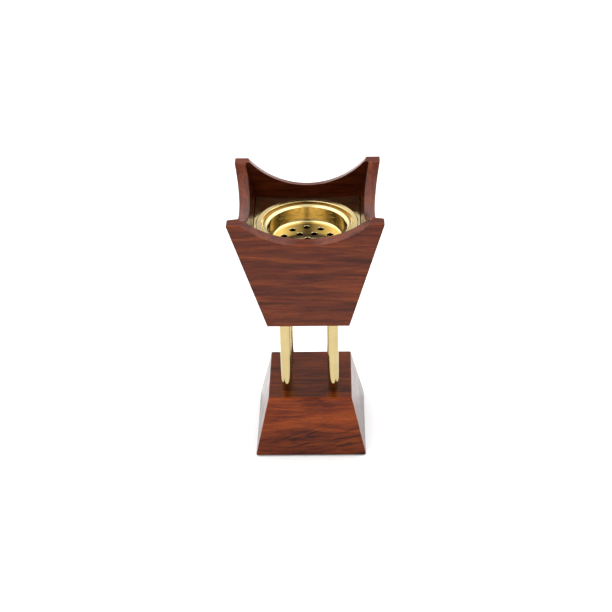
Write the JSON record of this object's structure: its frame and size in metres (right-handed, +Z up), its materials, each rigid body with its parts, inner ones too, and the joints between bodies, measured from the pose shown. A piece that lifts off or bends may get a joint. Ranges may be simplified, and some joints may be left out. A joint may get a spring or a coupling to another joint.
{
  "type": "incense burner",
  "caption": "Table-top incense burner: a flared wooden box with hollow-arc edges on brass columns and a tapered base, with a perforated brass bowl in a lift-out ash cup.",
  "frame": {"origin": "centre of the felt's underside, where the burner stands on the table", "axes": "+Z up; -Y towards the viewer (front); +X to the viewer's right"},
  "size_m": [0.13, 0.1296, 0.25],
  "materials": {
    "rosewood": "glossy clear varnish over dark reddish-brown hardwood",
    "plain_wood": "plain oiled hardwood",
    "polished_brass": "mirror polished",
    "zinc_steel": "zinc plated",
    "felt": "matt black felt"
  },
  "bodies": {
    "burner": {"base_felt": "felt", "base_block": "rosewood", "column_front_left": "polished_brass", "column_front_right": "polished_brass", "column_back_left": "polished_brass", "column_back_right": "polished_brass", "tie_rods": "zinc_steel", "base_washers": "zinc_steel", "base_nuts": "zinc_steel", "floor_washers": "zinc_steel", "floor_nuts": "zinc_steel", "box_floor": "plain_wood", "front_panel": "rosewood", "back_panel": "rosewood", "left_panel": "rosewood", "right_panel": "rosewood", "corner_dowels": "plain_wood", "cleat_front": "plain_wood", "cleat_back": "plain_wood", "cleat_left": "plain_wood", "cleat_right": "plain_wood", "brass_plate": "polished_brass"},
    "cup": {"ash_cup": "polished_brass"},
    "bowl": {"charcoal_bowl": "polished_brass"}
  },
  "joints": [
    {"name": "cup_lift", "type": "slide", "parent": "burner", "child": "cup", "axis": [0, 0, 1], "range_m": [0, 0.09]},
    {"name": "bowl_lift", "type": "slide", "parent": "cup", "child": "bowl", "axis": [0, 0, 1], "range_m": [0, 0.055]}
  ]
}
